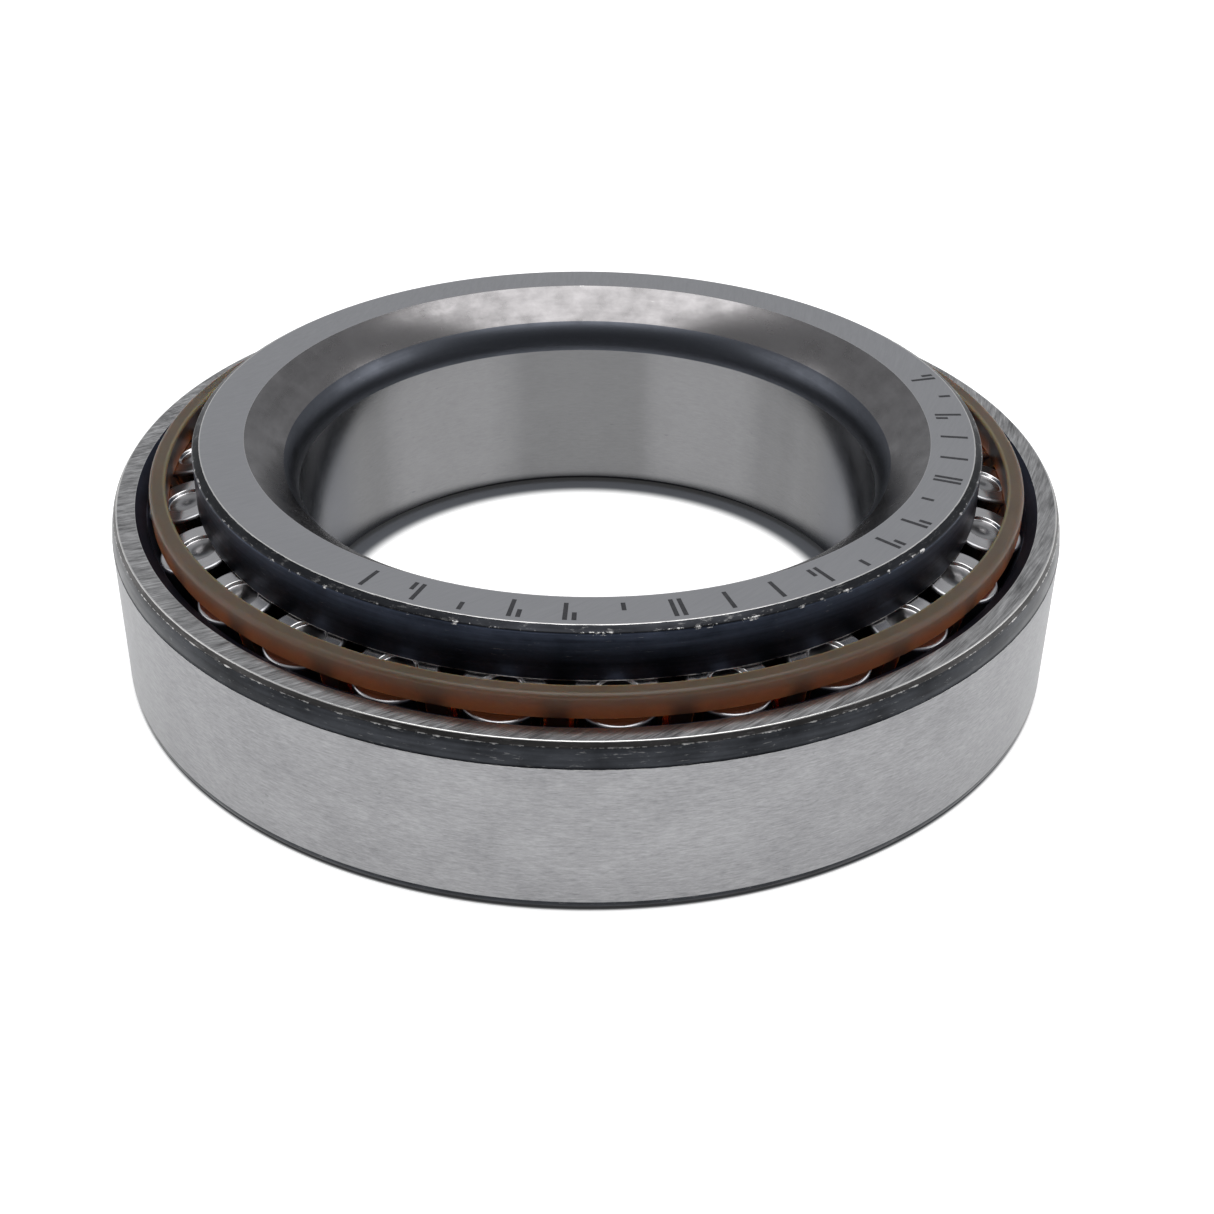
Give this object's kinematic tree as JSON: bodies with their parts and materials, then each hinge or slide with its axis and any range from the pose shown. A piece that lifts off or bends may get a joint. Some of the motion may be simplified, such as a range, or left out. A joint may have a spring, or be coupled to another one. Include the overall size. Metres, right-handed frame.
{
  "type": "tapered roller bearing",
  "caption": "Single-row tapered roller bearing: a cup, a cone with a large rib and rounded bore entry, and tapered rollers held in a moulded window cage.",
  "frame": {"origin": "centre of the outer ring's back face, on the bearing axis", "axes": "+Z along the bearing axis, from the outer ring's back face towards the inner ring's back face; +X and +Y lie in the back face plane"},
  "size_m": [0.075, 0.075, 0.0182],
  "materials": {
    "outer_ring_steel": "ground bearing steel, satin, with a dark unground corner band",
    "inner_ring_steel": "ground bearing steel, satin faces and a dark polished rib",
    "roller_steel": "superfinished bearing steel, polished",
    "cage_polymer": "moulded amber-brown translucent polyamide, semi-gloss"
  },
  "bodies": {
    "outer_ring": {"outer_ring": "outer_ring_steel"},
    "inner_ring": {"inner_ring": "inner_ring_steel"},
    "cage": {"cage": "cage_polymer"},
    "roller_01": {"roller_01": "roller_steel"},
    "roller_02": {"roller_02": "roller_steel"},
    "roller_03": {"roller_03": "roller_steel"},
    "roller_04": {"roller_04": "roller_steel"},
    "roller_05": {"roller_05": "roller_steel"},
    "roller_06": {"roller_06": "roller_steel"},
    "roller_07": {"roller_07": "roller_steel"},
    "roller_08": {"roller_08": "roller_steel"},
    "roller_09": {"roller_09": "roller_steel"},
    "roller_10": {"roller_10": "roller_steel"},
    "roller_11": {"roller_11": "roller_steel"},
    "roller_12": {"roller_12": "roller_steel"},
    "roller_13": {"roller_13": "roller_steel"},
    "roller_14": {"roller_14": "roller_steel"},
    "roller_15": {"roller_15": "roller_steel"},
    "roller_16": {"roller_16": "roller_steel"},
    "roller_17": {"roller_17": "roller_steel"},
    "roller_18": {"roller_18": "roller_steel"},
    "roller_19": {"roller_19": "roller_steel"},
    "roller_20": {"roller_20": "roller_steel"},
    "roller_21": {"roller_21": "roller_steel"},
    "roller_22": {"roller_22": "roller_steel"},
    "roller_23": {"roller_23": "roller_steel"},
    "roller_24": {"roller_24": "roller_steel"},
    "roller_25": {"roller_25": "roller_steel"},
    "roller_26": {"roller_26": "roller_steel"}
  },
  "joints": [
    {"name": "inner_ring_spin", "type": "hinge", "parent": "outer_ring", "child": "inner_ring", "pos_m": [0, 0, 0], "axis": [0, 0, 1], "continuous": true},
    {"name": "cage_spin", "type": "hinge", "parent": "outer_ring", "child": "cage", "pos_m": [0, 0, 0], "axis": [0, 0, 1], "continuous": true},
    {"name": "roller_01_spin", "type": "hinge", "parent": "cage", "child": "roller_01", "pos_m": [0.00201, -0.03019, 0.00782], "axis": [0.0157, -0.2363, 0.9715], "continuous": true},
    {"name": "roller_02_spin", "type": "hinge", "parent": "cage", "child": "roller_02", "pos_m": [0.00917, -0.02883, 0.00782], "axis": [0.0718, -0.2257, 0.9715], "continuous": true},
    {"name": "roller_03_spin", "type": "hinge", "parent": "cage", "child": "roller_03", "pos_m": [0.0158, -0.0258, 0.00782], "axis": [0.1237, -0.202, 0.9715], "continuous": true},
    {"name": "roller_04_spin", "type": "hinge", "parent": "cage", "child": "roller_04", "pos_m": [0.02152, -0.02127, 0.00782], "axis": [0.1685, -0.1665, 0.9715], "continuous": true},
    {"name": "roller_05_spin", "type": "hinge", "parent": "cage", "child": "roller_05", "pos_m": [0.02598, -0.0155, 0.00782], "axis": [0.2034, -0.1213, 0.9715], "continuous": true},
    {"name": "roller_06_spin", "type": "hinge", "parent": "cage", "child": "roller_06", "pos_m": [0.02894, -0.00883, 0.00782], "axis": [0.2265, -0.0691, 0.9715], "continuous": true},
    {"name": "roller_07_spin", "type": "hinge", "parent": "cage", "child": "roller_07", "pos_m": [0.03021, -0.00165, 0.00782], "axis": [0.2365, -0.0129, 0.9715], "continuous": true},
    {"name": "roller_08_spin", "type": "hinge", "parent": "cage", "child": "roller_08", "pos_m": [0.02973, 0.00563, 0.00782], "axis": [0.2327, 0.0441, 0.9715], "continuous": true},
    {"name": "roller_09_spin", "type": "hinge", "parent": "cage", "child": "roller_09", "pos_m": [0.02752, 0.01258, 0.00782], "axis": [0.2154, 0.0985, 0.9715], "continuous": true},
    {"name": "roller_10_spin", "type": "hinge", "parent": "cage", "child": "roller_10", "pos_m": [0.02371, 0.0188, 0.00782], "axis": [0.1856, 0.1472, 0.9715], "continuous": true},
    {"name": "roller_11_spin", "type": "hinge", "parent": "cage", "child": "roller_11", "pos_m": [0.01852, 0.02393, 0.00782], "axis": [0.145, 0.1873, 0.9715], "continuous": true},
    {"name": "roller_12_spin", "type": "hinge", "parent": "cage", "child": "roller_12", "pos_m": [0.01225, 0.02766, 0.00782], "axis": [0.0959, 0.2165, 0.9715], "continuous": true},
    {"name": "roller_13_spin", "type": "hinge", "parent": "cage", "child": "roller_13", "pos_m": [0.00528, 0.02979, 0.00782], "axis": [0.0413, 0.2332, 0.9715], "continuous": true},
    {"name": "roller_14_spin", "type": "hinge", "parent": "cage", "child": "roller_14", "pos_m": [-0.00201, 0.03019, 0.00782], "axis": [-0.0157, 0.2363, 0.9715], "continuous": true},
    {"name": "roller_15_spin", "type": "hinge", "parent": "cage", "child": "roller_15", "pos_m": [-0.00917, 0.02883, 0.00782], "axis": [-0.0718, 0.2257, 0.9715], "continuous": true},
    {"name": "roller_16_spin", "type": "hinge", "parent": "cage", "child": "roller_16", "pos_m": [-0.0158, 0.0258, 0.00782], "axis": [-0.1237, 0.202, 0.9715], "continuous": true},
    {"name": "roller_17_spin", "type": "hinge", "parent": "cage", "child": "roller_17", "pos_m": [-0.02152, 0.02127, 0.00782], "axis": [-0.1685, 0.1665, 0.9715], "continuous": true},
    {"name": "roller_18_spin", "type": "hinge", "parent": "cage", "child": "roller_18", "pos_m": [-0.02598, 0.0155, 0.00782], "axis": [-0.2034, 0.1213, 0.9715], "continuous": true},
    {"name": "roller_19_spin", "type": "hinge", "parent": "cage", "child": "roller_19", "pos_m": [-0.02894, 0.00883, 0.00782], "axis": [-0.2265, 0.0691, 0.9715], "continuous": true},
    {"name": "roller_20_spin", "type": "hinge", "parent": "cage", "child": "roller_20", "pos_m": [-0.03021, 0.00165, 0.00782], "axis": [-0.2365, 0.0129, 0.9715], "continuous": true},
    {"name": "roller_21_spin", "type": "hinge", "parent": "cage", "child": "roller_21", "pos_m": [-0.02973, -0.00563, 0.00782], "axis": [-0.2327, -0.0441, 0.9715], "continuous": true},
    {"name": "roller_22_spin", "type": "hinge", "parent": "cage", "child": "roller_22", "pos_m": [-0.02752, -0.01258, 0.00782], "axis": [-0.2154, -0.0985, 0.9715], "continuous": true},
    {"name": "roller_23_spin", "type": "hinge", "parent": "cage", "child": "roller_23", "pos_m": [-0.02371, -0.0188, 0.00782], "axis": [-0.1856, -0.1472, 0.9715], "continuous": true},
    {"name": "roller_24_spin", "type": "hinge", "parent": "cage", "child": "roller_24", "pos_m": [-0.01852, -0.02393, 0.00782], "axis": [-0.145, -0.1873, 0.9715], "continuous": true},
    {"name": "roller_25_spin", "type": "hinge", "parent": "cage", "child": "roller_25", "pos_m": [-0.01225, -0.02766, 0.00782], "axis": [-0.0959, -0.2165, 0.9715], "continuous": true},
    {"name": "roller_26_spin", "type": "hinge", "parent": "cage", "child": "roller_26", "pos_m": [-0.00528, -0.02979, 0.00782], "axis": [-0.0413, -0.2332, 0.9715], "continuous": true}
  ],
  "couplings": [
    {"joint": "cage_spin", "follows": "inner_ring_spin", "ratio": 0.45326},
    {"joint": "roller_01_spin", "follows": "inner_ring_spin", "ratio": -5.1513},
    {"joint": "roller_02_spin", "follows": "inner_ring_spin", "ratio": -5.1513},
    {"joint": "roller_03_spin", "follows": "inner_ring_spin", "ratio": -5.1513},
    {"joint": "roller_04_spin", "follows": "inner_ring_spin", "ratio": -5.1513},
    {"joint": "roller_05_spin", "follows": "inner_ring_spin", "ratio": -5.1513},
    {"joint": "roller_06_spin", "follows": "inner_ring_spin", "ratio": -5.1513},
    {"joint": "roller_07_spin", "follows": "inner_ring_spin", "ratio": -5.1513},
    {"joint": "roller_08_spin", "follows": "inner_ring_spin", "ratio": -5.1513},
    {"joint": "roller_09_spin", "follows": "inner_ring_spin", "ratio": -5.1513},
    {"joint": "roller_10_spin", "follows": "inner_ring_spin", "ratio": -5.1513},
    {"joint": "roller_11_spin", "follows": "inner_ring_spin", "ratio": -5.1513},
    {"joint": "roller_12_spin", "follows": "inner_ring_spin", "ratio": -5.1513},
    {"joint": "roller_13_spin", "follows": "inner_ring_spin", "ratio": -5.1513},
    {"joint": "roller_14_spin", "follows": "inner_ring_spin", "ratio": -5.1513},
    {"joint": "roller_15_spin", "follows": "inner_ring_spin", "ratio": -5.1513},
    {"joint": "roller_16_spin", "follows": "inner_ring_spin", "ratio": -5.1513},
    {"joint": "roller_17_spin", "follows": "inner_ring_spin", "ratio": -5.1513},
    {"joint": "roller_18_spin", "follows": "inner_ring_spin", "ratio": -5.1513},
    {"joint": "roller_19_spin", "follows": "inner_ring_spin", "ratio": -5.1513},
    {"joint": "roller_20_spin", "follows": "inner_ring_spin", "ratio": -5.1513},
    {"joint": "roller_21_spin", "follows": "inner_ring_spin", "ratio": -5.1513},
    {"joint": "roller_22_spin", "follows": "inner_ring_spin", "ratio": -5.1513},
    {"joint": "roller_23_spin", "follows": "inner_ring_spin", "ratio": -5.1513},
    {"joint": "roller_24_spin", "follows": "inner_ring_spin", "ratio": -5.1513},
    {"joint": "roller_25_spin", "follows": "inner_ring_spin", "ratio": -5.1513},
    {"joint": "roller_26_spin", "follows": "inner_ring_spin", "ratio": -5.1513}
  ]
}
